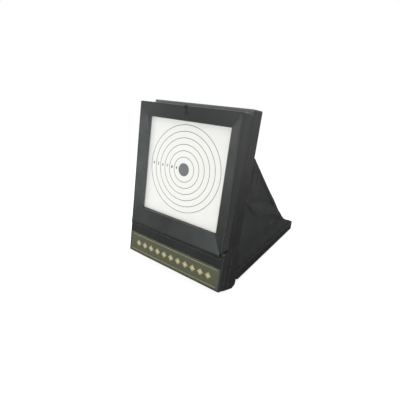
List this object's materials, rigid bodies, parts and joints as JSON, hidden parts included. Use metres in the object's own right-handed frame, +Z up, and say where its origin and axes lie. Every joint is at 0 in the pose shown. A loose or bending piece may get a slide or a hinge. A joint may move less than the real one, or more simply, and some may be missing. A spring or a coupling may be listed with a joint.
{
  "type": "target holder",
  "caption": "Leaning frame that holds a paper target behind a drop-down windowed door, with a cloth catch bag behind it and a base tray that folds up.",
  "frame": {"origin": "centre of the bounding box's underside, on the surface the holder stands on", "axes": "+Z up, the target faces -Y, +X to the right of someone facing the target's back"},
  "size_m": [0.1686, 0.2584, 0.2395],
  "materials": {
    "black_plastic": "moulded black plastic, fine texture, satin",
    "label_print": "dark olive printed film",
    "paper": "off-white card with printed grey rings",
    "steel": "bright zinc",
    "black_cloth": "closely woven black nylon cloth",
    "webbing": "woven black webbing"
  },
  "bodies": {
    "upright": {"main_frame": "black_plastic", "rear_frame": "black_plastic", "lower_front_cover": "black_plastic", "label_plate": "label_print", "target_paper": "paper", "frame_screw_1": "steel", "frame_screw_2": "steel", "frame_screw_3": "steel", "frame_screw_4": "steel", "frame_screw_5": "steel", "frame_screw_6": "steel", "frame_screw_7": "steel", "frame_screw_8": "steel", "cover_screw_1": "steel", "cover_screw_2": "steel", "cover_screw_3": "steel", "cover_screw_4": "steel", "fold_pin_left": "steel", "fold_pin_right": "steel", "door_pin_left": "steel", "door_pin_right": "steel", "net_top_strip": "black_plastic", "net_side_strip_left": "black_plastic", "net_side_strip_right": "black_plastic", "net_back": "black_cloth", "net_side_left": "black_cloth", "net_side_right": "black_cloth", "stay_strap_left": "webbing", "stay_strap_right": "webbing", "strap_rivet_left_top": "steel", "strap_rivet_right_top": "steel"},
    "door": {"door_bezel": "black_plastic"},
    "tray": {"base_tray": "black_plastic", "net_rear_strip": "black_plastic", "tray_side_strip_left": "black_plastic", "tray_side_strip_right": "black_plastic", "strap_rivet_left_low": "steel", "strap_rivet_right_low": "steel"}
  },
  "joints": [
    {"name": "door_hinge", "type": "hinge", "parent": "upright", "child": "door", "pos_m": [0, -0.11744, 0.06677], "axis": [1, 0, 0], "range_deg": [0, 90]},
    {"name": "base_fold", "type": "hinge", "parent": "upright", "child": "tray", "pos_m": [0, -0.07519, 0.015], "axis": [1, 0, 0], "range_deg": [0, 80], "deforming": ["net_back", "net_side_left", "net_side_right", "stay_strap_left", "stay_strap_right"]}
  ]
}
